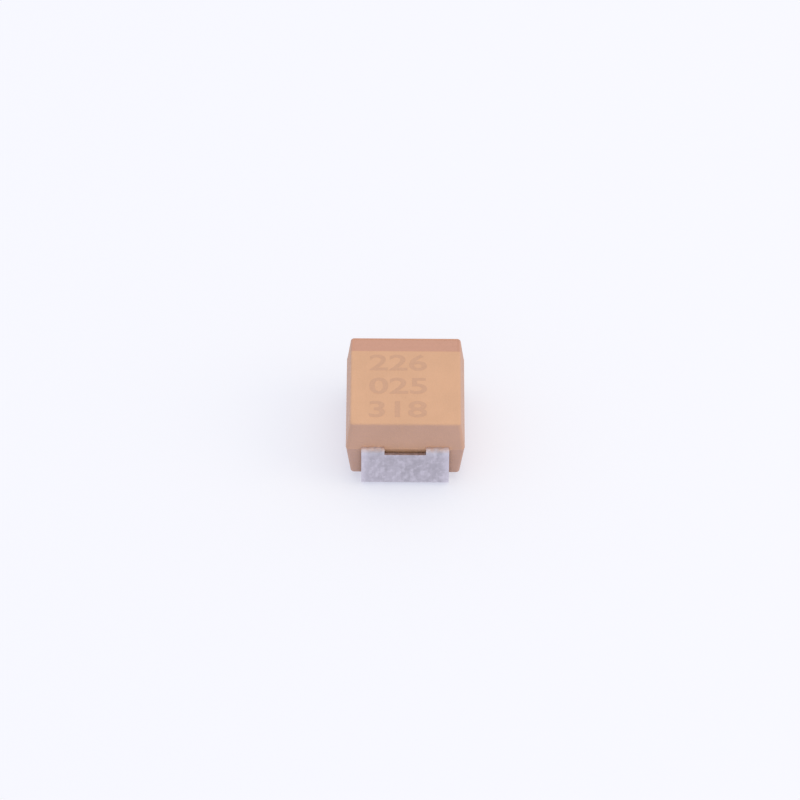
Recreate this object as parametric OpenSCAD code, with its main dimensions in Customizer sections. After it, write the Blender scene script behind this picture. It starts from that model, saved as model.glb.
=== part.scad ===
// Moulded tantalum chip capacitor, surface mount, 3528-21 case.
//
// A sintered tantalum pellet is coated with its cathode layers, glued by its underside to one strip of
// a leadframe and welded by its wire to the other. An epoxy case is then moulded round all of it, and
// the two strips are folded down the ends and under the case to make the solder feet.
//
// Frame: z = 0 is the circuit board, Z points up, and the length runs along Y. The positive end, which
// has the polarity band on its top face, is at +Y. Millimetres.

/* [Case] */
// Width of the case at its parting line
case_w = 2.86; // [2.6:0.02:3.1]
// Length of the case at its parting line
case_l = 3.16; // [3:0.02:3.4]
// Height of the upper half, from the parting line to the top face
cover_h = 0.76; // [0.7:0.01:0.9]
// Height of the lower half, from the parting line to the underside
base_h = 0.93; // [0.88:0.01:1.1]
// Draft of the moulded walls, in degrees from upright
draft = 7; // [3:0.5:9]
// Radius round the edges of the top face and of the underside
edge_r = 0.05; // [0.02:0.01:0.08]
// Radius of the upright corners at the parting line
corner_r = 0.1; // [0.05:0.01:0.15]

/* [Polarity band] */
// Length of the band that is burnt into the top face at the positive end
band_l = 0.42; // [0.3:0.02:0.6]
// Depth of the burnt band
band_depth = 0.01; // [0.005:0.005:0.02]

/* [Glue pad] */
// Width of the raised pad between the feet
pad_w = 2.2; // [1.6:0.1:2.3]
// Gap along the board between the pad and each foot
pad_gap = 0.08; // [0.05:0.01:0.3]
// Height of the pad's face above the board
pad_standoff = 0.06; // [0.02:0.01:0.1]
// Radius of the pad's corners
pad_r = 0.15; // [0.05:0.05:0.3]
// Diameter of the shallow mark that the ejector pin leaves in the pad
ejector_d = 0.9; // [0.6:0.1:1.2]
// Depth of the ejector mark
ejector_depth = 0.02; // [0.01:0.005:0.04]

/* [Leadframe] */
// Thickness of the leadframe strip
lead_t = 0.13; // [0.1:0.01:0.15]
// Width of the strip outside the case
lead_w = 2.12; // [1.8:0.02:2.3]
// Length of each foot, from the outermost face of its terminal to the foot's end
foot_l = 0.8; // [0.6:0.05:1]
// Gap between a foot and the underside of the case
foot_gap = 0.07; // [0.02:0.01:0.1]
// Lean of the legs from upright, in towards the drafted wall below, in degrees
leg_lean = 3; // [0:0.5:4]
// Inside radius of the bend where the strip leaves the case
shoulder_r = 0.04; // [0.02:0.01:0.08]
// Inside radius of the bend from the leg to the foot
foot_r = 0.06; // [0.03:0.01:0.12]
// Inside radius of the two bends of the step inside the case
step_r = 0.04; // [0.03:0.01:0.06]
// Length of full-width strip that is held in the end wall of the case
held_l = 0.1; // [0.08:0.01:0.14]
// Width of the relief slot that is punched across the shoulder bend
slot_w = 1.0; // [0.6:0.1:1.4]
// How far the relief slot reaches into the case
slot_in = 0.06; // [0.03:0.01:0.07]
// How far the relief slot reaches round the shoulder bend, in degrees
slot_angle = 70; // [50:5:85]

/* [Cathode paddle] */
// Width of the paddle under the pellet
paddle_w = 1.5; // [1.2:0.1:1.8]
// Length of the flat paddle
paddle_l = 1.4; // [1.1:0.1:1.6]
// Steepness of the step down to the paddle, in degrees
paddle_angle = 75; // [60:5:80]
// Resin under the paddle
paddle_cover = 0.16; // [0.14:0.01:0.2]
// Resin between the step and the pellet's coats
step_gap = 0.05; // [0.03:0.01:0.1]

/* [Anode tab] */
// Width of the tab that the wire is welded to
tab_w = 1.1; // [0.8:0.1:1.4]
// Length of the flat tab
tab_l = 0.3; // [0.25:0.01:0.35]
// Steepness of the step down to the tab, in degrees
tab_angle = 45; // [40:5:50]
// Resin between the tab and the pellet's coats
tab_gap = 0.19; // [0.17:0.01:0.25]

/* [Pellet] */
// Resin between the pellet's coats and the top face
pellet_cover = 0.2; // [0.15:0.01:0.24]
// Resin between the pellet's coats and each side of the case, at the parting line
pellet_wall = 0.28; // [0.22:0.01:0.35]
// Radius of the pellet's long edges
pellet_r = 0.12; // [0.05:0.01:0.2]

/* [Coats] */
// Thickness of the manganese dioxide, which covers the whole pellet
oxide_t = 0.03; // [0.02:0.005:0.05]
// Thickness of the graphite
graphite_t = 0.015; // [0.01:0.005:0.03]
// Thickness of the silver paint
silver_t = 0.025; // [0.015:0.005:0.04]
// Bare oxide that the graphite leaves at the wire end
graphite_margin = 0.12; // [0.08:0.01:0.2]
// Bare graphite that the silver leaves at the wire end
silver_margin = 0.06; // [0.03:0.01:0.12]
// Thickness of the silver glue between the silver paint and the paddle
glue_t = 0.03; // [0.02:0.005:0.05]
// Bare border that the glue leaves at the edges of the paddle
glue_inset = 0.12; // [0.06:0.01:0.2]

/* [Wire] */
// Diameter of the tantalum wire
wire_d = 0.24; // [0.2:0.01:0.28]
// Length of wire that is sintered into the pellet
wire_in = 0.7; // [0.5:0.05:1]
// Bare tab past the end of the wire
wire_short = 0.05; // [0.03:0.01:0.08]
// Depth of the flat that the weld presses into the wire
weld_flat = 0.03; // [0.02:0.005:0.05]
// Diameter of the insulating washer on the wire
washer_d = 0.7; // [0.5:0.05:0.9]
// Thickness of the insulating washer
washer_t = 0.12; // [0.08:0.01:0.15]

/* [Hidden] */
$fn = 48;

HULL_FN = 24;       // facets of the rounded edges inside a hull
SEAM_H = 0.01;      // upright land at the parting line on each half of the case
THROUGH = 1;        // overshoot of a cutter past the face that it opens
RIGHT_ANGLE = 90;

// Levels, from the board up. A strip's level is that of its lower face.
underside_z = lead_t + foot_gap;
parting_z = underside_z + base_h;
top_z = parting_z + cover_h;
strip_z = parting_z - lead_t / 2;
paddle_z = underside_z + paddle_cover;

// Along the length, from the middle of the case towards either end.
end_y = case_l / 2;
outer_y = end_y + shoulder_r + lead_t;

// The leg runs straight between the shoulder bend and the heel bend, whose centre is at heel_y.
leg_l = (strip_z - shoulder_r - lead_t - foot_r + (foot_r - shoulder_r) * sin(leg_lean)) / cos(leg_lean);
heel_y = end_y - (foot_r - shoulder_r) * cos(leg_lean) - leg_l * sin(leg_lean);

// The coated pellet lies between the paddle and the resin of the top face.
coats_t = oxide_t + graphite_t + silver_t;
block_z0 = paddle_z + lead_t + glue_t;
block_h = top_z - pellet_cover - block_z0;
block_w = case_w - 2 * pellet_wall;
wire_z = block_z0 + block_h / 2;
tab_z = wire_z - wire_d / 2 + weld_flat - lead_t;

// Each strip steps down inside the case to reach its piece.
paddle_drop = strip_z - paddle_z;
tab_drop = strip_z - tab_z;
paddle_y0 = -end_y + held_l + step_run(paddle_drop, paddle_angle);
tab_y1 = end_y - held_l - step_run(tab_drop, tab_angle);
tab_y0 = tab_y1 - tab_l;

// The block's two ends keep clear of the step and of the tab.
block_y0 = paddle_y0 + step_gap;
block_y1 = tab_y0 - tab_gap;
pellet_y0 = block_y0 + coats_t;
pellet_y1 = block_y1 - oxide_t;
pellet_w = block_w - 2 * coats_t;
pellet_h = block_h - 2 * coats_t;

// Two equal and opposite bends and the straight between them lower a strip by its drop. The bends
// alone lower it by step_bends, and a shallower angle is taken where the drop is less than that.
function step_bends(angle) = (2 * step_r + lead_t) * (1 - cos(angle));
function step_angle(drop, steepest) = min(steepest, acos(1 - drop / (2 * step_r + lead_t)));
function step_slope(drop, steepest) =
    let (angle = step_angle(drop, steepest)) max(0, (drop - step_bends(angle)) / sin(angle));
function step_run(drop, steepest) =
    let (angle = step_angle(drop, steepest))
        (2 * step_r + lead_t) * sin(angle) + step_slope(drop, steepest) * cos(angle);

// A rectangle with round corners, centred.
module rounded_rectangle(width, height, radius) {
    square([width - 2 * radius, height], center = true);
    square([width, height - 2 * radius], center = true);
    for (x = [-1, 1], y = [-1, 1])
        translate([x * (width / 2 - radius), y * (height / 2 - radius)])
            circle(r = radius);
}

// A quarter-circle turned about Z: the round corner where three edges of the case meet.
module rim_corner() {
    rotate_extrude($fn = HULL_FN)
        intersection() {
            circle(r = edge_r);
            square(edge_r);
        }
}

// One half of the case, rising from the parting line, with drafted walls and a rounded rim.
module case_half(height) {
    inset = height * tan(draft) + edge_r;
    hull()
        for (x = [-1, 1], y = [-1, 1]) {
            translate([x * (case_w / 2 - corner_r), y * (case_l / 2 - corner_r), 0])
                cylinder(r = corner_r, h = SEAM_H, $fn = HULL_FN);
            translate([x * (case_w / 2 - inset), y * (case_l / 2 - inset), height - edge_r])
                rim_corner();
        }
}

// The band is burnt into the flat of the top face, from its rim inwards.
module band_recess() {
    inset = cover_h * tan(draft) + edge_r;
    flat_w = case_w - 2 * inset;
    translate([-flat_w / 2, end_y - inset - band_l, top_z - band_depth])
        cube([flat_w, band_l, THROUGH]);
}

// The pad takes the dot of glue that holds the part on its board before soldering.
module glue_pad() {
    pad_l = 2 * (outer_y - foot_l - pad_gap);
    difference() {
        translate([0, 0, pad_standoff])
            linear_extrude(underside_z + edge_r - pad_standoff)
                rounded_rectangle(pad_w, pad_l, pad_r);
        translate([0, 0, pad_standoff + ejector_depth - THROUGH])
            cylinder(d = ejector_d, h = THROUGH);
    }
}

module molded_case() {
    color([0.85, 0.55, 0.27])
        difference() {
            union() {
                translate([0, 0, parting_z])
                    case_half(cover_h);
                translate([0, 0, parting_z])
                    mirror([0, 0, 1])
                        case_half(base_h);
                glue_pad();
            }
            band_recess();
            cathode_strip();
            anode_strip();
            coated_block();
            silver_glue();
            washer_rod();
            wire_rod();
        }
}

// Where a strip has metal across its width: all of it, or both sides of a slot.
function metal_spans(width, slot) =
    slot > 0 ? [[-width / 2, -slot / 2], [slot / 2, width / 2]] : [[-width / 2, width / 2]];

// A strip of the leadframe laid out along +Y from the origin, lead_t thick above z = 0. Each move is
// [straight length, bend in degrees, inside radius, width, slot], and a positive bend turns upwards.
module folded_strip(moves, index = 0) {
    if (index < len(moves)) {
        length = moves[index][0];
        bend = moves[index][1];
        radius = moves[index][2];
        turn = sign(bend);
        pivot = turn > 0 ? lead_t + radius : -radius;
        for (span = metal_spans(moves[index][3], moves[index][4])) {
            if (length > 0)
                translate([span[0], 0, 0])
                    cube([span[1] - span[0], length, lead_t]);
            if (bend != 0)
                translate([0, length, pivot])
                    rotate([0, turn * RIGHT_ANGLE, 0])
                        rotate_extrude(angle = abs(bend))
                            translate([radius, span[0]])
                                square([lead_t, span[1] - span[0]]);
        }
        translate([0, length, pivot])
            rotate([bend, 0, 0])
                translate([0, 0, -pivot])
                    folded_strip(moves, index + 1);
    }
}

// A whole terminal at the +Y end, from the end of its foot to the end of its inner blade.
module terminal(drop, steepest, blade_w, blade_l) {
    angle = step_angle(drop, steepest);
    foot_y0 = outer_y - foot_l;
    translate([0, foot_y0, 0])
        folded_strip([
            [heel_y - foot_y0, RIGHT_ANGLE - leg_lean, foot_r, lead_w, 0],
            [leg_l, RIGHT_ANGLE + leg_lean - slot_angle, shoulder_r, lead_w, 0],
            [0, slot_angle, shoulder_r, lead_w, slot_w],
            [slot_in, 0, 0, lead_w, slot_w],
            [held_l - slot_in, 0, 0, lead_w, 0],
            [0, angle, step_r, blade_w, 0],
            [step_slope(drop, steepest), -angle, step_r, blade_w, 0],
            [blade_l, 0, 0, blade_w, 0],
        ]);
}

module anode_strip() {
    terminal(tab_drop, tab_angle, tab_w, tab_l);
}

module cathode_strip() {
    rotate([0, 0, 180])
        terminal(paddle_drop, paddle_angle, paddle_w, paddle_l);
}

module anode_terminal() {
    color([0.75, 0.75, 0.77])
        anode_strip();
}

module cathode_terminal() {
    color([0.75, 0.75, 0.77])
        cathode_strip();
}

// A length of the pellet's rounded section, grown on all four sides by the coats that lie inside it.
module pellet_bar(growth, y0, y1) {
    translate([0, y1, wire_z])
        rotate([RIGHT_ANGLE, 0, 0])
            linear_extrude(y1 - y0)
                rounded_rectangle(pellet_w + 2 * growth, pellet_h + 2 * growth, pellet_r + growth);
}

module oxide_block() {
    pellet_bar(oxide_t, pellet_y0 - oxide_t, block_y1);
}

module graphite_block() {
    grown = oxide_t + graphite_t;
    pellet_bar(grown, pellet_y0 - grown, block_y1 - graphite_margin);
}

module silver_block() {
    pellet_bar(coats_t, block_y0, block_y1 - graphite_margin - silver_margin);
}

module coated_block() {
    oxide_block();
    graphite_block();
    silver_block();
}

// A rod along Y on the wire's axis.
module rod(diameter, y0, y1) {
    translate([0, y1, wire_z])
        rotate([RIGHT_ANGLE, 0, 0])
            cylinder(d = diameter, h = y1 - y0);
}

module wire_rod() {
    rod(wire_d, pellet_y1 - wire_in, tab_y1 - wire_short);
}

module washer_rod() {
    rod(washer_d, pellet_y1, pellet_y1 + washer_t);
}

module riser_wire() {
    color([0.45, 0.46, 0.5])
        difference() {
            wire_rod();
            translate([-wire_d, tab_y0, tab_z + lead_t - THROUGH])
                cube([2 * wire_d, tab_l, THROUGH]);
        }
}

module wire_washer() {
    color([0.93, 0.93, 0.9])
        difference() {
            washer_rod();
            wire_rod();
        }
}

module tantalum_pellet() {
    color([0.36, 0.36, 0.4])
        difference() {
            pellet_bar(0, pellet_y0, pellet_y1);
            wire_rod();
        }
}

module manganese_dioxide_coat() {
    color([0.13, 0.12, 0.12])
        difference() {
            oxide_block();
            pellet_bar(0, pellet_y0, pellet_y1);
            washer_rod();
        }
}

module graphite_coat() {
    color([0.24, 0.24, 0.26])
        difference() {
            graphite_block();
            oxide_block();
        }
}

module silver_coat() {
    color([0.8, 0.8, 0.82])
        difference() {
            silver_block();
            graphite_block();
        }
}

// The glue covers the part of the paddle that lies under the pellet, short of its edges.
module silver_glue() {
    under_l = paddle_y0 + paddle_l - block_y0;
    color([0.66, 0.66, 0.68])
        translate([-paddle_w / 2 + glue_inset, block_y0 + glue_inset, block_z0 - glue_t])
            cube([paddle_w - 2 * glue_inset, under_l - 2 * glue_inset, glue_t]);
}

molded_case();
cathode_terminal();
anode_terminal();
tantalum_pellet();
riser_wire();
wire_washer();
manganese_dioxide_coat();
graphite_coat();
silver_coat();
silver_glue();
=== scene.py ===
"""Dresses the moulded tantalum chip capacitor, on a pale floor in soft light.

It models the epoxy case, the two folded terminals and the burnt numbers, and finishes the layers
inside. Sizes that a user may change are in metres. Meshes are shaped in millimetres, where the
modelling operators keep their accuracy, and are shrunk once they are finished.
"""

import math
import types

import bmesh
import bpy
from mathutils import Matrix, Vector


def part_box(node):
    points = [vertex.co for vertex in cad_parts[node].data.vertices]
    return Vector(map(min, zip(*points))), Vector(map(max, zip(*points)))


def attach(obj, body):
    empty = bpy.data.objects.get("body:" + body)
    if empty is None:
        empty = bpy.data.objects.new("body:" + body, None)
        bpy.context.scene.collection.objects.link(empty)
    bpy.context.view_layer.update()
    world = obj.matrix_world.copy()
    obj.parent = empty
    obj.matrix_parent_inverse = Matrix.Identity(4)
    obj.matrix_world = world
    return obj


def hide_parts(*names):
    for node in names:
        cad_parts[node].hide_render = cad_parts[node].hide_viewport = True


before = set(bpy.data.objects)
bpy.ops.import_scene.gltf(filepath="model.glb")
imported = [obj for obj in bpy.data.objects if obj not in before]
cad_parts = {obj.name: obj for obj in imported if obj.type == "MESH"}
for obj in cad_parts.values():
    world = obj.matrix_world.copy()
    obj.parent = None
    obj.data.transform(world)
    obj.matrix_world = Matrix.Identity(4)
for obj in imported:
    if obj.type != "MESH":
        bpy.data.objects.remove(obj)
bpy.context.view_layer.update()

bl_info = {
    "name": "Tantalum Chip Capacitor",
    "version": (1, 0, 0),
    "blender": (4, 5, 0),
    "location": "View3D > Sidebar > Capacitor",
    "description": "Models and finishes a moulded tantalum chip capacitor round its solid frame",
    "category": "Add Mesh",
}

BODY = "root"
MM = 0.001
CASE_LOW, CASE_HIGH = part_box("molded_case")
ANODE_LOW, ANODE_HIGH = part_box("anode_terminal")
CATHODE_LOW, CATHODE_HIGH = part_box("cathode_terminal")
GLUE_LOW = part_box("silver_glue")[0]
WIRE_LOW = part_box("riser_wire")[0]

# How the meshes are made, in millimetres and square millimetres.
HAIR = 0.0005  # what is this close to a level or a line lies on it
MERGE_REACH = HAIR / 10  # points this close are merged
FIT_TOLERANCE = 0.004  # how far a piece may miss the box of its solid
TOP_AREA = 1.0  # the flat of the top face is larger than this
BAND_AREA = 0.5  # the band's part of that flat is larger than this
UPRIGHT = 0.7  # an edge stands when this much of its direction is upwards
LEVEL = 0.999  # a face lies flat when this much of its normal is upwards
ARC_STEP = math.radians(7.5)
SMOOTH_ANGLE = math.radians(35)
SHARP_ANGLE = math.radians(50)
ROUND_STEPS = 6
PAD_CORNER_STEPS = 8
PAD_RIM_STEPS = 3
STRIP_EDGE_STEPS = 4
PIN_SIDES = 96
DIGIT_WEIGHT = 0.018  # how much the strokes are thickened, in text of size 1
DIGIT_STEPS = 6

# Detail in the finishes, in millimetres apart from the noise's own roughness.
NOISE_ROUGHNESS = 0.55
BAND_WANDER = 0.03
BAND_BLUR = 0.012
LASER_PITCH = 0.045
SEAM_REACH = 0.014
SEAM_WANDER = 0.012
SEAM_BLUR = 0.012
# Painted highlight along the strip's long edges: how far in it reaches, and its blur.
EDGE_HIGHLIGHT_REACH = 0.10
EDGE_HIGHLIGHT_BLUR = 0.24
# Resin bleed and painted shade on the top of the shoulder: where it starts above the strip's
# underside, and its blur.
BLEED_AND_SHADE_START = 0.09
BLEED_AND_SHADE_BLUR = 0.10

# The stage, in metres. A lamp has its name, place, diameter and the setting that holds its power.
FLOOR_RADIUS = 0.6
FLOOR_SIDES = 96
FLOOR_GAP = 0.02 * MM
FLOOR_TONE_IN_METAL = 0.86
LAMPS = (
    ("overhead", (0.02, 0.03, 0.22), 0.26, "overhead"),
    ("right_hand", (0.20, -0.04, 0.12), 0.16, "side"),
)
AZIMUTH = math.radians(-0.2)
ELEVATION = math.radians(44.94)
ROLL = math.radians(0.52)
DISTANCE = 0.1248
TARGET = Vector((-0.000132, 0, 0.001224))
FOCAL_RATIO = 6.4125  # focal length over the width of the sensor
FAR_CLIP = 10


def length_value(name, description, default):
    """A length in metres, shown in the user's own unit."""
    return bpy.props.FloatProperty(
        name=name, description=description, default=default, min=0, unit="LENGTH", precision=6
    )


def strength_value(name, description, default):
    """A strength or power of light."""
    return bpy.props.FloatProperty(
        name=name, description=description, default=default, min=0, precision=4
    )


def angle_value(name, description, degrees):
    """An angle, shown in degrees."""
    return bpy.props.FloatProperty(
        name=name, description=description, default=math.radians(degrees), min=0, subtype="ANGLE"
    )


def colour_value(name, description, default):
    """A linear colour."""
    return bpy.props.FloatVectorProperty(
        name=name, description=description, default=default, size=3, min=0, max=1, subtype="COLOR"
    )


class CaseSizes(bpy.types.PropertyGroup):
    """Sizes of the moulded case."""

    width: length_value("Width", "Width at the parting line", CASE_HIGH.x - CASE_LOW.x)
    length: length_value("Length", "Length at the parting line", CASE_HIGH.y - CASE_LOW.y)
    top: length_value("Top", "Height of the top face above the board", CASE_HIGH.z)
    parting: length_value("Parting line", "Height of the parting line", 0.00113)
    underside: length_value("Underside", "Height of the underside", 0.0002)
    draft: angle_value("Draft", "Slope of the moulded walls", 7)
    corner: length_value("Corners", "Radius of the upright corners", 0.00008)
    rim: length_value("Rims", "Radius round the top face and the underside", 0.00005)
    flash: length_value("Flash", "How far the seam stands out at the parting line", 0.000006)
    band: length_value("Band", "Length of the polarity band", 0.00042)
    burn: length_value("Burn", "Depth of the burnt band", 0.00001)
    pad_width: length_value("Pad width", "Width of the glue pad", 0.0022)
    pad_length: length_value("Pad length", "Length of the glue pad", 0.00174)
    pad_corner: length_value("Pad corners", "Radius of the glue pad's corners", 0.00015)
    ejector: length_value("Ejector mark", "Diameter of the ejector mark", 0.0009)
    ejector_depth: length_value("Ejector depth", "Depth of the ejector mark", 0.00002)


class TerminalSizes(bpy.types.PropertyGroup):
    """Sizes of the two folded terminals."""

    width: length_value("Width", "Width of the strip", ANODE_HIGH.x - ANODE_LOW.x)
    thickness: length_value("Thickness", "Thickness of the strip", 0.00013)
    foot: length_value("Foot", "Length of the foot", 0.0008)
    lean: angle_value("Lean", "Lean of the leg towards the case", 3)
    heel: length_value("Heel", "Inside radius of the lower bend", 0.00006)
    shoulder: length_value("Shoulder", "Inside radius of the upper bend", 0.00004)
    held: length_value("Held", "Full-width strip held in the end wall", 0.0001)
    slot: length_value("Slot", "Width of the relief slot", 0.001)
    slot_turn: angle_value("Slot turn", "How far the slot reaches round the shoulder", 70)
    slot_in: length_value("Slot depth", "How far the slot reaches into the case", 0.00006)
    step: length_value("Step", "Inside radius of the bends of the inner step", 0.00004)
    paddle_width: length_value("Paddle width", "Width of the paddle under the pellet", 0.0015)
    paddle_angle: angle_value("Paddle step", "Steepness of the step to the paddle", 75)
    tab_width: length_value("Tab width", "Width of the tab under the wire", 0.0011)
    tab_angle: angle_value("Tab step", "Steepness of the step to the tab", 45)
    weld: length_value("Weld", "Depth of the flat that the weld presses into the wire", 0.00003)
    edge: length_value("Edge", "Rounding of the sheared edges", 0.000016)


class MarkSizes(bpy.types.PropertyGroup):
    """Layout of the plain numbers on the top face."""

    rows: bpy.props.StringProperty(
        name="Rows", description="Rows of plain numbers, parted by spaces", default="226 025 318"
    )
    height: length_value("Height", "Height of a digit", 0.00056)
    width: length_value("Width", "Width of a row of digits", 0.0014)
    pitch: length_value("Pitch", "Distance from one row to the next", 0.0008)
    relief: length_value("Relief", "How far the burnt strokes swell out", 0.000002)
    shift: bpy.props.FloatVectorProperty(
        name="Shift",
        description="Middle of the block on the top face",
        default=(-0.00018, -0.00018),
        size=2,
        unit="LENGTH",
        precision=6,
    )


class FinishColours(bpy.types.PropertyGroup):
    """Colours of the outer surfaces."""

    epoxy: colour_value("Epoxy", "Moulded epoxy", (0.70, 0.40, 0.245))
    burnt: colour_value("Burnt epoxy", "Epoxy of the polarity band", (0.60, 0.315, 0.235))
    mark: colour_value("Mark", "Epoxy of the burnt numbers", (0.59, 0.338, 0.222))
    tin: colour_value("Tin", "Dull tin plating", (0.575, 0.545, 0.63))
    cut: colour_value("Cut edge", "Sheared edges of the strip", (0.74, 0.70, 0.68))


class StageLight(bpy.types.PropertyGroup):
    """The soft light round the part, and its floor."""

    dome: strength_value("Dome", "Strength of the light from all round", 0.90)
    dome_colour: colour_value(
        "Dome colour", "Colour of the light from all round", (0.922, 0.955, 1.0)
    )
    overhead: strength_value("Overhead", "Power of the overhead lamp in watts", 0.072)
    side: strength_value("Side", "Power of the lamp at the right in watts", 0.096)
    lamp_colour: colour_value("Lamp colour", "Colour of both lamps", (1.0, 0.80, 0.50))
    bounce: strength_value("Bounce", "Strength of the light that the floor gives back", 1.0)
    bounce_colour: colour_value(
        "Bounce colour", "Colour of the light that the floor gives back", (0.485, 0.57, 1.0)
    )
    floor: colour_value("Floor", "Pale floor", (0.93, 0.92, 0.90))
    glow: strength_value("Glow", "Share of the floor's look that takes no shadow", 0.4)
    glow_strength: strength_value("Glow strength", "Strength of that share of the look", 1.17)
    glow_colour: colour_value("Glow colour", "Colour of that share of the look", (0.80, 0.83, 1.0))
    backdrop: colour_value(
        "Backdrop", "Colour behind the floor, and of the floor in metal", (0.94, 0.938, 0.99)
    )


# ------------------------------------------------------------------------------
# Modelling helpers


def deselect_all():
    """Leaves object mode with nothing selected, the frame's own nodes included."""
    if bpy.context.object and bpy.context.object.mode != "OBJECT":
        bpy.ops.object.mode_set(mode="OBJECT")
    bpy.ops.object.select_all(action="DESELECT")


def new_piece(name):
    """Names the primitive that was just added."""
    piece = bpy.context.object
    piece.name = name
    piece.data.name = name
    return piece


def only(piece):
    """Makes a piece the one that object operators work on."""
    deselect_all()
    bpy.context.view_layer.objects.active = piece
    piece.select_set(True)


def edit(piece, kind):
    """Opens a piece in edit mode with nothing selected. The kind is VERT, EDGE or FACE."""
    only(piece)
    bpy.ops.object.mode_set(mode="EDIT")
    bpy.ops.mesh.select_mode(type=kind)
    bpy.ops.mesh.select_all(action="DESELECT")


def choose(kind, test):
    """Selects the verts, edges or faces that pass a test, and stops if there are none."""
    mesh = bpy.context.object.data
    shape = bmesh.from_edit_mesh(mesh)
    shape.normal_update()
    bpy.ops.mesh.select_mode(type={"verts": "VERT", "edges": "EDGE", "faces": "FACE"}[kind])
    bpy.ops.mesh.select_all(action="DESELECT")
    shape = bmesh.from_edit_mesh(mesh)
    found = [item for item in getattr(shape, kind) if test(item)]
    for item in found:
        item.select_set(True)
    shape.select_flush_mode()
    bmesh.update_edit_mesh(mesh)
    if not found:
        raise RuntimeError(f"nothing to select among the {kind} of {bpy.context.object.name}")


def cut(point, normal):
    """Cuts what is selected along a plane and keeps both sides."""
    bpy.ops.mesh.bisect(plane_co=point, plane_no=normal, threshold=MERGE_REACH)


def merge_points():
    """Selects all of the piece in edit mode and merges its doubled points."""
    bpy.ops.mesh.select_all(action="SELECT")
    bpy.ops.mesh.remove_doubles(threshold=MERGE_REACH)


def edge_run(edge):
    """Direction of an edge, without its sense."""
    run = (edge.verts[1].co - edge.verts[0].co).normalized()
    return Vector((abs(run.x), abs(run.y), abs(run.z)))


def ring_at(level):
    """A test for edges that lie at a level."""
    return lambda edge: all(abs(vertex.co.z - level) < HAIR for vertex in edge.verts)


def apply_place():
    """Writes the place, turn and size of the selected piece into its mesh."""
    bpy.ops.object.transform_apply(location=True, rotation=True, scale=True)


def apply_modifier(piece, kind, **settings):
    """Adds one modifier to a piece, sets it and applies it."""
    only(piece)
    bpy.ops.object.modifier_add(type=kind)
    modifier = piece.modifiers[-1]
    for name, value in settings.items():
        setattr(modifier, name, value)
    bpy.ops.object.modifier_apply(modifier=modifier.name)


def combine(piece, other, operation):
    """Joins another solid to a piece, or cuts it away, and removes it."""
    apply_modifier(piece, "BOOLEAN", operation=operation, solver="EXACT", object=other)
    bpy.data.objects.remove(other)


def smooth_faces(piece):
    """Shades the rounded edges smooth and keeps the flats flat."""
    only(piece)
    bpy.ops.object.shade_smooth_by_angle(angle=SMOOTH_ANGLE)
    apply_modifier(piece, "WEIGHTED_NORMAL", keep_sharp=True)


def finish_piece(piece, node, material):
    """Shrinks a piece from millimetres to metres and ties it to the frame."""
    only(piece)
    piece.scale = (MM, MM, MM)
    apply_place()
    piece.data.materials.clear()
    piece.data.materials.append(material)
    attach(piece, BODY)
    if node:
        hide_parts(node)
    deselect_all()


def in_mm(group):
    """A property group's lengths in millimetres, and its other values as they are."""
    sizes = types.SimpleNamespace()
    for name, prop in group.bl_rna.properties.items():
        value = getattr(group, name, None)
        if prop.type == "FLOAT" and prop.unit == "LENGTH":
            value = [v / MM for v in value] if prop.is_array else value / MM
        setattr(sizes, name, value)
    return sizes


# ------------------------------------------------------------------------------
# Shader helpers


class Signal:
    """A value worked out at each point of a surface. Arithmetic on signals adds Math nodes."""

    def __init__(self, socket):
        self.socket = socket

    def node(self, kind, settings, values):
        return Shading(self.socket.id_data).node(kind, settings, values)

    def maths(self, operation, first, second=0.0):
        return self.node("ShaderNodeMath", {"operation": operation}, {0: first, 1: second})

    def __add__(self, other):
        return self.maths("ADD", self, other)

    def __sub__(self, other):
        return self.maths("SUBTRACT", self, other)

    def __rsub__(self, other):
        return self.maths("SUBTRACT", other, self)

    def __mul__(self, other):
        return self.maths("MULTIPLY", self, other)

    __radd__ = __add__
    __rmul__ = __mul__

    def __abs__(self):
        return self.maths("ABSOLUTE", self)

    def above(self, level, blur):
        """0 below a level and 1 above it, with a soft step that is blur wide."""
        return self.node(
            "ShaderNodeMapRange",
            {"interpolation_type": "SMOOTHSTEP"},
            {"Value": self, "From Min": level - blur / 2, "From Max": level + blur / 2},
        )

    def wave(self, pitch):
        """Goes from 0 to 1 and back each time that the signal grows by a pitch."""
        return self.maths("SINE", self * (2 * math.pi / pitch)) * 0.5 + 0.5

    def parts(self):
        """The three numbers of a vector."""
        split = self.node("ShaderNodeSeparateXYZ", {}, {0: self})
        return [Signal(output) for output in split.socket.node.outputs]


class Shading:
    """A node tree that finishes are built in."""

    def __init__(self, tree):
        self.tree = tree

    def node(self, kind, settings=None, values=None, output=0):
        """Adds a node: its settings first, then the values and links of its sockets."""
        node = self.tree.nodes.new(kind)
        for name, value in (settings or {}).items():
            setattr(node, name, value)
        self.fill(node, values or {})
        return Signal(node.outputs[output])

    def fill(self, node, values):
        """Links or sets the sockets of a node."""
        for name, value in values.items():
            socket = node.inputs[name]
            if isinstance(value, Signal):
                self.tree.links.new(value.socket, socket)
            elif socket.type == "RGBA":
                socket.default_value = (*value[:3], 1)
            else:
                socket.default_value = value

    def blend(self, factor, first, second):
        """A colour between two others."""
        sockets = {0: factor, 6: first, 7: second}
        return self.node("ShaderNodeMix", {"data_type": "RGBA"}, sockets, output=2)

    def choice(self, factor, first, second):
        """One shader or another."""
        return self.node("ShaderNodeMixShader", {}, {0: factor, 1: first, 2: second})

    def ray(self, kind):
        """1 for light rays of a kind, such as Is Camera Ray."""
        return self.node("ShaderNodeLightPath", output=kind)

    def show(self, shader, output):
        """Makes a shader the one that the tree ends in."""
        self.tree.links.new(shader.socket, self.tree.nodes[output].inputs["Surface"])


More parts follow.
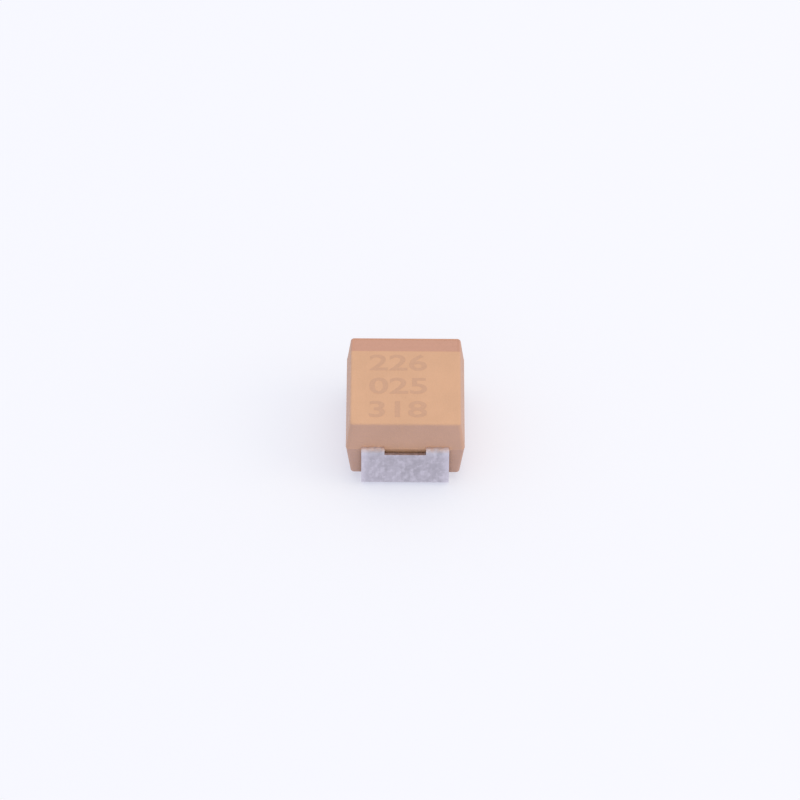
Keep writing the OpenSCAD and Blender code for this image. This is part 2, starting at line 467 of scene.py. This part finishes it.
class Finish(Shading):
    """A material, with patterns that read the place on the piece in millimetres."""

    def __init__(self, name):
        self.material = bpy.data.materials.new(name)
        self.material.use_nodes = True
        super().__init__(self.material.node_tree)
        self.place = self.scaled(self.node("ShaderNodeTexCoord", output="Object"), (1 / MM,) * 3)

    def scaled(self, place, factors):
        """A place with each axis multiplied."""
        sockets = {"Vector": place, "Scale": factors}
        return self.node("ShaderNodeMapping", {"vector_type": "POINT"}, sockets)

    def noise(self, scale, detail=3, stretch=None):
        """Noise from 0 to 1 with a number of features in each millimetre."""
        place = self.scaled(self.place, stretch) if stretch else self.place
        sockets = {
            "Vector": place,
            "Scale": scale,
            "Detail": detail,
            "Roughness": NOISE_ROUGHNESS,
        }
        return self.node("ShaderNodeTexNoise", {}, sockets)

    def cells(self, scale):
        """Distance to the nearest of scattered points, a number of them in each millimetre."""
        sockets = {"Vector": self.place, "Scale": scale}
        return self.node("ShaderNodeTexVoronoi", {"feature": "F1"}, sockets, "Distance")

    def facing(self):
        """The direction that the surface faces."""
        return self.node("ShaderNodeNewGeometry", output="Normal")

    def relief(self, *layers):
        """A normal from layers of relief, each a height and its swing in millimetres."""
        normal = None
        for height, swing in layers:
            values = {"Height": height, "Distance": swing * MM}
            if normal:
                values["Normal"] = normal
            normal = self.node("ShaderNodeBump", {}, values)
        return normal

    def paint(self, **values):
        """Fills the sockets of the material's own shader."""
        sockets = {name.replace("_", " "): value for name, value in values.items()}
        self.fill(self.tree.nodes["Principled BSDF"], sockets)
        return self.material


def tone(colour, factor):
    """A colour made lighter or darker."""
    return [min(1, channel * factor) for channel in colour]


# ------------------------------------------------------------------------------
# Places that shapes and finishes share


def band_start(sizes):
    """Where the polarity band starts along the case, in millimetres from its middle."""
    inset = (sizes.top - sizes.parting) * math.tan(sizes.draft)
    return sizes.length / 2 - inset - sizes.rim - sizes.band


def strip_level(sizes):
    """Height in millimetres of the strip's underside where it enters the case."""
    return ANODE_HIGH.z / MM - sizes.thickness


# ------------------------------------------------------------------------------
# Finishes


def moulded_epoxy(colours, sizes):
    """Filled epoxy as it leaves the mould: satin, finely pitted, with its burnt polarity band."""
    finish = Finish("moulded_epoxy")
    _, y, z = finish.place.parts()
    up = finish.facing().parts()[2]
    cloud = finish.noise(1.3, detail=4)
    grain = finish.noise(26, detail=3)
    fine = finish.noise(75, detail=2)
    filler = finish.cells(34)
    fleck = 1 - filler.above(0.20, 0.16)
    dark_fleck = 1 - finish.cells(23).above(0.14, 0.10)
    # Pits: small dents in the relief, with painted shade in them.
    shaded_pit = 1 - finish.cells(3.6).above(0.035, 0.02)
    body = finish.blend(
        cloud.above(0.5, 0.5), tone(colours.epoxy, 0.965), tone(colours.epoxy, 1.03)
    )
    body = finish.blend(fleck * 0.38, body, tone(colours.epoxy, 1.28))
    body = finish.blend(dark_fleck * 0.36, body, tone(colours.epoxy, 0.72))
    body = finish.blend(shaded_pit * 0.35, body, tone(colours.epoxy, 0.5))
    ragged = y + (finish.noise(14) - 0.5) * BAND_WANDER
    band = ragged.above(band_start(sizes), BAND_BLUR) * up.above(0.6, 0.3)
    raster = y.wave(LASER_PITCH)
    scorched = finish.blend(
        raster * 0.5 + grain * 0.5, tone(colours.burnt, 0.93), tone(colours.burnt, 1.07)
    )
    off_seam = abs(z - sizes.parting + (grain - 0.5) * SEAM_WANDER)
    seam = 1 - off_seam.above(SEAM_REACH, SEAM_BLUR)
    colour = finish.blend(band * 0.92, body, scorched)
    colour = finish.blend(seam * 0.30, colour, tone(colours.epoxy, 1.15))
    normal = finish.relief(
        (cloud, 0.012),
        (grain, 0.011),
        (fine, 0.003),
        (shaded_pit, -0.004),
        (raster * band, 0.003),
        (seam * grain, 0.005),
    )
    rough = 0.46 + (grain - 0.5) * 0.22 + fine * 0.08 + band * 0.12
    return finish.paint(Base_Color=colour, Roughness=rough, Normal=normal, IOR=1.5)


def laser_burn(colours):
    """The strokes of the plain numbers: epoxy swollen and darkened by the laser."""
    finish = Finish("laser_burn")
    bead = finish.cells(26)
    grain = finish.noise(45, detail=2)
    colour = finish.blend(
        bead.above(0.35, 0.5), tone(colours.mark, 0.97), tone(colours.mark, 1.05)
    )
    rough = 0.6 + (grain - 0.5) * 0.2
    normal = finish.relief((bead, 0.002), (grain, 0.002))
    return finish.paint(Base_Color=colour, Roughness=rough, Normal=normal, IOR=1.5)


def dull_tin(colours, sizes):
    """Matte tin on a sheared and folded strip, with painted highlights, and with resin bleed and
    painted shade on the shoulder where it leaves the case.
    """
    finish = Finish("dull_tin")
    x, _, z = finish.place.parts()
    side = abs(finish.facing().parts()[0]).above(0.8, 0.2)
    mottle = finish.noise(5, detail=3)
    cloud = finish.noise(2.6)
    dapple = finish.noise(13)
    crystal = finish.cells(48)
    rolled = finish.noise(34, detail=2, stretch=(1, 0.05, 0.05))
    scratch = finish.noise(26, detail=1, stretch=(0.10, 1, 1)).above(0.73, 0.05)
    # Painted highlights: brighter patches of colour stand in for glints on the tin, and are also a
    # little smoother.
    painted_glint = finish.noise(8, detail=2, stretch=(1, 1, 0.65)).above(0.60, 0.34)
    # Painted highlight: the tin is made lighter along the strip's long edges.
    painted_edge_highlight = abs(x).above(sizes.width / 2 - EDGE_HIGHLIGHT_REACH, EDGE_HIGHLIGHT_BLUR)
    # Partly resin bleed, partly painted shade: the top of the shoulder is tinted towards epoxy and
    # made less metallic, which dulls its highlight.
    shoulder = z.above(strip_level(sizes) + BLEED_AND_SHADE_START, BLEED_AND_SHADE_BLUR)
    bleed_and_shade = shoulder * (0.25 + dapple.above(0.5, 0.4) * 0.4)
    colour = finish.blend(
        mottle.above(0.5, 0.34), tone(colours.tin, 0.84), tone(colours.tin, 1.12)
    )
    colour = finish.blend(cloud.above(0.5, 0.4) * 0.3, colour, tone(colours.tin, 0.78))
    colour = finish.blend(dapple.above(0.5, 0.4) * 0.35, colour, tone(colours.tin, 1.14))
    colour = finish.blend(rolled.above(0.5, 0.5) * 0.25, colour, tone(colours.tin, 0.76))
    colour = finish.blend(painted_edge_highlight * 0.7, colour, tone(colours.tin, 1.36))
    colour = finish.blend(painted_glint * 0.5, colour, tone(colours.tin, 1.42))
    colour = finish.blend(scratch * 0.2, colour, tone(colours.tin, 1.4))
    colour = finish.blend(bleed_and_shade, colour, tone(colours.epoxy, 0.85))
    colour = finish.blend(side * 0.8, colour, colours.cut)
    normal = finish.relief(
        (mottle, 0.016), (dapple, 0.007), (crystal, 0.002), (rolled, 0.0025), (scratch, -0.002)
    )
    rough = 0.44 - painted_glint * 0.08 + (crystal - 0.4) * 0.16 + (mottle - 0.5) * 0.24 + bleed_and_shade * 0.15
    metal = 1.0 - bleed_and_shade * 0.5
    return finish.paint(Base_Color=colour, Metallic=metal, Roughness=rough, Normal=normal)


def sintered_tantalum():
    """Pressed and sintered powder, dark grey and porous."""
    finish = Finish("sintered_tantalum")
    grain = finish.cells(55)
    pores = finish.noise(80, detail=3)
    colour = finish.blend(grain.above(0.4, 0.6), (0.12, 0.12, 0.15), (0.045, 0.045, 0.055))
    normal = finish.relief((grain, 0.006), (pores, 0.003))
    rough = 0.55 + pores * 0.25
    return finish.paint(Base_Color=colour, Metallic=0.6, Roughness=rough, Normal=normal)


def tantalum_wire():
    """Drawn wire, blue grey, with fine lines along it."""
    finish = Finish("tantalum_wire")
    lines = finish.noise(90, detail=2, stretch=(1, 0.03, 1))
    colour = finish.blend(lines, (0.20, 0.21, 0.26), (0.34, 0.35, 0.41))
    rough = 0.3 + lines * 0.15
    normal = finish.relief((lines, 0.002))
    return finish.paint(Base_Color=colour, Metallic=1.0, Roughness=rough, Normal=normal)


def white_ptfe():
    """Waxy white washer punched from sheet."""
    finish = Finish("white_ptfe")
    cloud = finish.noise(9)
    colour = finish.blend(cloud, (0.78, 0.78, 0.75), (0.88, 0.88, 0.86))
    rough = 0.38 + cloud * 0.15
    return finish.paint(Base_Color=colour, Roughness=rough, Normal=finish.relief((cloud, 0.004)))


def black_oxide():
    """Manganese dioxide: matte black with a fine crust."""
    finish = Finish("black_oxide")
    crust = finish.cells(42)
    cloud = finish.noise(6)
    colour = finish.blend(cloud * crust, (0.010, 0.009, 0.009), (0.035, 0.030, 0.028))
    rough = 0.7 + cloud * 0.2
    return finish.paint(Base_Color=colour, Roughness=rough, Normal=finish.relief((crust, 0.008)))


def grey_graphite():
    """Graphite dip: dark grey with a faint slick sheen."""
    finish = Finish("grey_graphite")
    flake = finish.cells(60)
    cloud = finish.noise(5)
    colour = finish.blend(cloud.above(0.5, 0.5), (0.045, 0.045, 0.05), (0.085, 0.085, 0.092))
    rough = 0.42 + cloud * 0.2
    normal = finish.relief((flake, 0.002))
    return finish.paint(Base_Color=colour, Metallic=0.25, Roughness=rough, Normal=normal)


def silver_paint():
    """Silver flake paint that was dipped and has dried matte."""
    finish = Finish("silver_paint")
    run = finish.noise(12, stretch=(1, 0.25, 1))
    flake = finish.cells(70)
    colour = finish.blend(run.above(0.5, 0.5), (0.50, 0.50, 0.51), (0.66, 0.66, 0.66))
    normal = finish.relief((run, 0.006), (flake, 0.002))
    rough = 0.42 + run * 0.2
    return finish.paint(Base_Color=colour, Metallic=0.8, Roughness=rough, Normal=normal)


def silver_filled_glue():
    """Cured silver-filled glue."""
    finish = Finish("silver_filled_glue")
    flake = finish.cells(48)
    cloud = finish.noise(7)
    colour = finish.blend(flake.above(0.4, 0.5), (0.46, 0.46, 0.46), (0.30, 0.30, 0.31))
    rough = 0.5 + cloud * 0.2
    normal = finish.relief((flake, 0.004))
    return finish.paint(Base_Color=colour, Metallic=0.6, Roughness=rough, Normal=normal)


# ------------------------------------------------------------------------------
# Shapes


def slit(half_width):
    """Parts the sheet in edit mode along its length, at both sides of its middle."""
    for x in (-half_width, half_width):
        bpy.ops.mesh.select_all(action="SELECT")
        cut((x, 0, 0), (1, 0, 0))


def spread(sizes, level, reach):
    """Moves the selected ring of the case outwards by a reach, or inwards by a negative one."""
    factors = (1 + 2 * reach / sizes.width, 1 + 2 * reach / sizes.length, 1)
    bpy.ops.transform.resize(value=factors, center_override=(0, 0, level))


def drafted_block(sizes):
    """The case without its pad: a block cut at the parting line, drawn in above and below it."""
    height = sizes.top - sizes.underside
    bpy.ops.mesh.primitive_cube_add(size=1, location=(0, 0, sizes.underside + height / 2))
    case = new_piece("epoxy_case")
    case.scale = (sizes.width, sizes.length, height)
    apply_place()

    edit(case, "FACE")
    for offset in (-2, 0, 2):
        bpy.ops.mesh.select_all(action="SELECT")
        cut((0, 0, sizes.parting + offset * sizes.flash), (0, 0, 1))
    for level in (sizes.top, sizes.underside):
        inset = abs(level - sizes.parting) * math.tan(sizes.draft)
        choose("verts", lambda v: abs(v.co.z - level) < HAIR)
        spread(sizes, level, -inset)
    choose("verts", lambda v: abs(v.co.z - sizes.parting) < HAIR)
    spread(sizes, sizes.parting, sizes.flash)

    choose("edges", lambda e: edge_run(e).z > UPRIGHT)
    bpy.ops.mesh.bevel(offset=sizes.corner, segments=ROUND_STEPS, clamp_overlap=False)
    for level in (sizes.top, sizes.underside):
        choose("edges", ring_at(level))
        bpy.ops.mesh.bevel(offset=sizes.rim, segments=ROUND_STEPS, clamp_overlap=False)
    return case


def burn_band(case, sizes):
    """Sinks the polarity band into the flat of the top face."""
    start = band_start(sizes)

    def in_band(face):
        beyond = face.calc_center_median().y > start
        return face.normal.z > LEVEL and beyond and face.calc_area() > BAND_AREA

    edit(case, "FACE")
    choose("faces", lambda f: f.normal.z > LEVEL and f.calc_area() > TOP_AREA)
    cut((0, start, sizes.top), (0, 1, 0))
    choose("faces", in_band)
    bpy.ops.mesh.inset(thickness=sizes.burn / 2, depth=-sizes.burn)
    bpy.ops.object.mode_set(mode="OBJECT")


def glue_pad(sizes):
    """The raised pad between the feet, with the ejector pin's mark in it."""
    low = CASE_LOW.z / MM
    high = sizes.underside + sizes.rim
    bpy.ops.mesh.primitive_cube_add(size=1, location=(0, 0, (low + high) / 2))
    pad = new_piece("pad")
    pad.scale = (sizes.pad_width, sizes.pad_length, high - low)
    apply_place()
    edit(pad, "EDGE")
    choose("edges", lambda e: edge_run(e).z > UPRIGHT)
    bpy.ops.mesh.bevel(offset=sizes.pad_corner, segments=PAD_CORNER_STEPS)
    choose("edges", ring_at(low))
    bpy.ops.mesh.bevel(offset=sizes.rim / 3, segments=PAD_RIM_STEPS)
    bpy.ops.object.mode_set(mode="OBJECT")

    deselect_all()
    bpy.ops.mesh.primitive_cylinder_add(
        vertices=PIN_SIDES,
        radius=sizes.ejector / 2,
        depth=2 * sizes.ejector_depth,
        location=(0, 0, low),
    )
    pin = new_piece("ejector_pin")
    combine(pad, pin, "DIFFERENCE")
    return pad


class Strip:
    """A sheet of strip that is laid out along +Y by drawing out and folding its free edge."""

    def __init__(self, name, width, thickness, start_y):
        self.thickness = thickness
        self.place = Vector((0, start_y, 0))
        self.heading = 0
        bpy.ops.mesh.primitive_plane_add(size=1, location=(0, start_y - 0.5 * thickness, 0))
        self.piece = new_piece(name)
        self.piece.scale = (width, thickness, 1)
        apply_place()
        edit(self.piece, "EDGE")
        self.take_free_edge(width)

    def ahead(self):
        """The direction in which the strip goes on."""
        return Vector((0, math.cos(self.heading), math.sin(self.heading)))

    def above(self):
        """The direction out of the side that gets the thickness."""
        return Vector((0, -math.sin(self.heading), math.cos(self.heading)))

    def take_free_edge(self, width):
        """Selects the free edge, or the middle of it."""

        def at_end(edge):
            return all(
                abs((v.co - self.place).dot(self.ahead())) < HAIR
                and abs((v.co - self.place).dot(self.above())) < HAIR
                and abs(v.co.x) < width / 2 + HAIR
                for v in edge.verts
            )

        choose("edges", at_end)

    def straight(self, length):
        """Draws the free edge straight on."""
        run = self.ahead() * length
        bpy.ops.mesh.extrude_region_move(TRANSFORM_OT_translate={"value": run})
        self.place = self.place + run

    def fold(self, angle, radius):
        """Turns the strip upwards for a positive angle, and downwards for a negative one."""
        reach = self.thickness + radius if angle > 0 else -radius
        centre = self.place + self.above() * reach
        steps = max(2, math.ceil(abs(angle) / ARC_STEP))
        bpy.ops.mesh.spin(steps=steps, angle=angle, center=centre, axis=(-1, 0, 0))
        self.heading += angle
        self.place = centre - self.above() * reach

    def thicken(self):
        """Gives the sheet its thickness, on the upper side of the foot."""
        only(self.piece)
        foot = min(self.piece.data.polygons, key=lambda face: face.center.z)
        if foot.normal.z > 0:
            bpy.ops.object.mode_set(mode="EDIT")
            bpy.ops.mesh.select_all(action="SELECT")
            bpy.ops.mesh.flip_normals()
            bpy.ops.object.mode_set(mode="OBJECT")
        apply_modifier(
            self.piece, "SOLIDIFY", thickness=self.thickness, offset=-1, use_even_offset=True
        )


def fold_terminal(name, sizes, blade_width, blade_level, blade_end, steepest):
    """One terminal at the +Y end, from the end of its foot to the end of its inner blade."""
    end = CASE_HIGH.y / MM
    shoulder_low = strip_level(sizes) - sizes.shoulder
    curl = sizes.heel - sizes.shoulder
    rise = shoulder_low - sizes.thickness - sizes.heel + curl * math.sin(sizes.lean)
    leg = rise / math.cos(sizes.lean)
    heel_y = end - curl * math.cos(sizes.lean) - leg * math.sin(sizes.lean)
    foot_end = end + sizes.shoulder + sizes.thickness - sizes.foot
    drop = strip_level(sizes) - blade_level
    bends = 2 * sizes.step + sizes.thickness
    turn = min(steepest, math.acos(max(0, 1 - drop / bends)))
    slope = max(0, drop - bends * (1 - math.cos(turn))) / math.sin(turn)
    quarter = math.pi / 2

    strip = Strip(name, sizes.width, sizes.thickness, foot_end + sizes.thickness)
    strip.straight(heel_y - strip.place.y)
    strip.fold(quarter - sizes.lean, sizes.heel)
    strip.straight(leg)
    strip.fold(quarter + sizes.lean - sizes.slot_turn, sizes.shoulder)
    strip.fold(sizes.slot_turn, sizes.shoulder)
    strip.straight(sizes.slot_in)
    strip.straight(sizes.held - sizes.slot_in)

    slit(sizes.slot / 2)
    rising = Vector((0, -math.cos(sizes.slot_turn), math.sin(sizes.slot_turn)))
    bend_centre = Vector((0, end, shoulder_low))

    def in_slot(face):
        middle = face.calc_center_median()
        return (
            abs(middle.x) < sizes.slot / 2
            and (middle - bend_centre).dot(rising) > 0
            and middle.y > end - sizes.slot_in
        )

    choose("faces", in_slot)
    bpy.ops.mesh.delete(type="FACE")

    slit(blade_width / 2)
    strip.take_free_edge(blade_width)
    strip.fold(turn, sizes.step)
    if slope > 0:
        strip.straight(slope)
    strip.fold(-turn, sizes.step)
    strip.straight(strip.place.y - blade_end)
    merge_points()
    bpy.ops.mesh.normals_make_consistent(inside=False)
    bpy.ops.object.mode_set(mode="OBJECT")
    strip.thicken()
    apply_modifier(
        strip.piece,
        "BEVEL",
        width=sizes.edge,
        segments=STRIP_EDGE_STEPS,
        limit_method="ANGLE",
        angle_limit=SHARP_ANGLE,
    )
    edit(strip.piece, "VERT")
    merge_points()
    bpy.ops.object.mode_set(mode="OBJECT")
    return strip.piece


def number_row(index, digits, line_y, sizes):
    """One row of raised digits, stretched to its size and set on the top face."""
    deselect_all()
    bpy.ops.object.text_add()
    text = bpy.context.object.data
    text.body = digits
    text.align_x = "CENTER"
    text.extrude = 0.5
    text.offset = DIGIT_WEIGHT
    text.resolution_u = DIGIT_STEPS
    bpy.ops.object.convert(target="MESH")
    row = new_piece(f"number_row_{index}")
    xs = [vertex.co.x for vertex in row.data.vertices]
    ys = [vertex.co.y for vertex in row.data.vertices]
    fit = Vector(
        (sizes.width / (max(xs) - min(xs)), sizes.height / (max(ys) - min(ys)), 2 * sizes.relief)
    )
    middle = Vector(((max(xs) + min(xs)) / 2, (max(ys) + min(ys)) / 2, 0))
    row.scale = fit
    row.location = Vector((sizes.shift[0], line_y, CASE_HIGH.z / MM)) - middle * fit
    apply_place()
    edit(row, "FACE")
    merge_points()
    bpy.ops.mesh.normals_make_consistent(inside=False)
    bpy.ops.object.mode_set(mode="OBJECT")
    return row


def check_fit(piece, low, high):
    """Stops if a piece, still in millimetres, doesn't fill the box of its solid."""
    corners = [vertex.co for vertex in piece.data.vertices]
    for axis in range(3):
        values = [corner[axis] for corner in corners]
        miss = max(abs(min(values) - low[axis] / MM), abs(max(values) - high[axis] / MM))
        if miss > FIT_TOLERANCE:
            way = "XYZ"[axis]
            raise RuntimeError(f"{piece.name} misses its solid by {miss:.4f} mm along {way}")


# ------------------------------------------------------------------------------
# Operators


class CAPACITOR_OT_case(bpy.types.Operator):
    """Model the moulded case with its polarity band and glue pad"""

    bl_idname = "capacitor.case"
    bl_label = "Moulded Case"

    def execute(self, context):
        deselect_all()
        sizes = in_mm(context.scene.capacitor_case)
        case = drafted_block(sizes)
        burn_band(case, sizes)
        deselect_all()
        combine(case, glue_pad(sizes), "UNION")
        smooth_faces(case)
        epoxy = moulded_epoxy(context.scene.capacitor_colours, sizes)
        finish_piece(case, "molded_case", epoxy)
        return {"FINISHED"}


class CAPACITOR_OT_terminals(bpy.types.Operator):
    """Fold the two terminals from strip"""

    bl_idname = "capacitor.terminals"
    bl_label = "Folded Terminals"

    def execute(self, context):
        sizes = in_mm(context.scene.capacitor_terminals)
        tin = dull_tin(context.scene.capacitor_colours, sizes)
        tab_level = WIRE_LOW.z / MM + sizes.weld - sizes.thickness
        deselect_all()
        anode = fold_terminal(
            "anode_strip", sizes, sizes.tab_width, tab_level, ANODE_LOW.y / MM, sizes.tab_angle
        )
        check_fit(anode, ANODE_LOW, ANODE_HIGH)
        smooth_faces(anode)
        finish_piece(anode, "anode_terminal", tin)

        paddle_level = GLUE_LOW.z / MM - sizes.thickness
        paddle_end = -CATHODE_HIGH.y / MM
        cathode = fold_terminal(
            "cathode_strip",
            sizes,
            sizes.paddle_width,
            paddle_level,
            paddle_end,
            sizes.paddle_angle,
        )
        only(cathode)
        cathode.rotation_euler.z = math.pi
        apply_place()
        check_fit(cathode, CATHODE_LOW, CATHODE_HIGH)
        smooth_faces(cathode)
        finish_piece(cathode, "cathode_terminal", tin)
        return {"FINISHED"}


class CAPACITOR_OT_numbers(bpy.types.Operator):
    """Burn rows of plain numbers into the top face"""

    bl_idname = "capacitor.numbers"
    bl_label = "Plain Numbers"

    def execute(self, context):
        sizes = in_mm(context.scene.capacitor_marks)
        rows = sizes.rows.split()
        made = []
        for index, digits in enumerate(rows):
            line_y = sizes.shift[1] + ((len(rows) - 1) / 2 - index) * sizes.pitch
            made.append(number_row(index, digits, line_y, sizes))
        deselect_all()
        for row in made:
            row.select_set(True)
        bpy.context.view_layer.objects.active = made[0]
        bpy.ops.object.join()
        numbers = new_piece("burnt_numbers")
        finish_piece(numbers, None, laser_burn(context.scene.capacitor_colours))
        return {"FINISHED"}


class CAPACITOR_OT_core(bpy.types.Operator):
    """Finish the pellet, its coats and its wire inside the case"""

    bl_idname = "capacitor.core"
    bl_label = "Inner Layers"

    def execute(self, context):
        finishes = {
            "tantalum_pellet": sintered_tantalum,
            "riser_wire": tantalum_wire,
            "wire_washer": white_ptfe,
            "manganese_dioxide_coat": black_oxide,
            "graphite_coat": grey_graphite,
            "silver_coat": silver_paint,
            "silver_glue": silver_filled_glue,
        }
        for node, make in finishes.items():
            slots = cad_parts[node].material_slots
            if not slots:
                raise RuntimeError(f"{node} has no material slot to finish")
            slots[0].material = make()
        return {"FINISHED"}


class CAPACITOR_OT_stage(bpy.types.Operator):
    """Set the floor, the lights and the camera"""

    bl_idname = "capacitor.stage"
    bl_label = "Stage"

    def execute(self, context):
        light = context.scene.capacitor_light
        lay_floor(light)
        light_world(context, light)
        add_lamps(light)
        place_camera(context)
        context.scene.view_settings.view_transform = "Standard"
        return {"FINISHED"}


def lay_floor(light):
    """A wide pale floor that can't be seen from below, and that lights the underside evenly."""
    deselect_all()
    bpy.ops.mesh.primitive_circle_add(
        vertices=FLOOR_SIDES, radius=FLOOR_RADIUS, fill_type="NGON", location=(0, 0, -FLOOR_GAP)
    )
    floor = new_piece("floor")
    finish = Finish("pale_floor")
    finish.paint(Base_Color=light.floor, Roughness=0.9, Specular_IOR_Level=0.0)
    matte = Signal(finish.tree.nodes["Principled BSDF"].outputs[0])
    glow = finish.node(
        "ShaderNodeEmission", {}, {"Color": light.glow_colour, "Strength": light.glow_strength}
    )
    in_metal = tone(light.backdrop, FLOOR_TONE_IN_METAL)
    given = finish.blend(finish.ray("Is Glossy Ray"), light.bounce_colour, in_metal)
    bounce = finish.node("ShaderNodeEmission", {}, {"Color": given, "Strength": light.bounce})
    seen = finish.ray("Is Camera Ray")
    upper = finish.choice(seen, bounce, finish.choice(light.glow, matte, glow))
    clear = finish.node("ShaderNodeBsdfTransparent")
    behind = finish.node("ShaderNodeNewGeometry", output="Backfacing")
    finish.show(finish.choice(behind, upper, clear), "Material Output")
    finish.material.cycles.emission_sampling = "NONE"
    floor.data.materials.append(finish.material)


def light_world(context, light):
    """Soft cool light from all round, in front of a pale backdrop."""
    world = bpy.data.worlds.new("studio")
    world.use_nodes = True
    context.scene.world = world
    studio = Shading(world.node_tree)
    soft = studio.node(
        "ShaderNodeBackground", {}, {"Color": light.dome_colour, "Strength": light.dome}
    )
    pale = studio.node("ShaderNodeBackground", {}, {"Color": light.backdrop})
    studio.show(studio.choice(studio.ray("Is Camera Ray"), soft, pale), "World Output")


def add_lamps(light):
    """One broad warm lamp overhead and a weak one at the right."""
    for name, place, size, power in LAMPS:
        deselect_all()
        bpy.ops.object.light_add(type="AREA", location=place)
        lamp = bpy.context.object
        lamp.name = name
        lamp.data.shape = "DISK"
        lamp.data.size = size
        lamp.data.energy = getattr(light, power)
        lamp.data.color = light.lamp_colour
        lamp.rotation_euler = Vector(place).to_track_quat("Z", "Y").to_euler()


def place_camera(context):
    """A long lens that looks down along the part from its cathode end."""
    back = Vector(
        (
            math.sin(AZIMUTH) * math.cos(ELEVATION),
            -math.cos(AZIMUTH) * math.cos(ELEVATION),
            math.sin(ELEVATION),
        )
    )
    deselect_all()
    bpy.ops.object.camera_add(location=TARGET + back * DISTANCE)
    camera = bpy.context.object
    camera.name = "camera"
    camera.data.lens = FOCAL_RATIO * camera.data.sensor_width
    camera.data.clip_start = DISTANCE / 20
    camera.data.clip_end = FAR_CLIP
    camera.rotation_euler = (-back).to_track_quat("-Z", "Y").to_euler()
    camera.rotation_euler.rotate_axis("Z", ROLL)
    context.scene.camera = camera


class CAPACITOR_PT_panel(bpy.types.Panel):
    """The pieces of the capacitor, in the order in which they are made"""

    bl_idname = "CAPACITOR_PT_panel"
    bl_label = "Tantalum Chip Capacitor"
    bl_space_type = "VIEW_3D"
    bl_region_type = "UI"
    bl_category = "Capacitor"

    def draw(self, context):
        for operator in OPERATORS:
            self.layout.operator(operator.bl_idname)


GROUPS = {
    "capacitor_case": CaseSizes,
    "capacitor_terminals": TerminalSizes,
    "capacitor_marks": MarkSizes,
    "capacitor_colours": FinishColours,
    "capacitor_light": StageLight,
}
OPERATORS = (
    CAPACITOR_OT_case,
    CAPACITOR_OT_terminals,
    CAPACITOR_OT_numbers,
    CAPACITOR_OT_core,
    CAPACITOR_OT_stage,
)


def register():
    for group in GROUPS.values():
        bpy.utils.register_class(group)
    for name, group in GROUPS.items():
        setattr(bpy.types.Scene, name, bpy.props.PointerProperty(type=group))
    for operator in OPERATORS:
        bpy.utils.register_class(operator)
    bpy.utils.register_class(CAPACITOR_PT_panel)


def unregister():
    bpy.utils.unregister_class(CAPACITOR_PT_panel)
    for operator in reversed(OPERATORS):
        bpy.utils.unregister_class(operator)
    for name, group in GROUPS.items():
        delattr(bpy.types.Scene, name)
        bpy.utils.unregister_class(group)


def main():
    register()
    for operator in OPERATORS:
        category, name = operator.bl_idname.split(".")
        getattr(getattr(bpy.ops, category), name)()


if __name__ == "__main__":
    main()
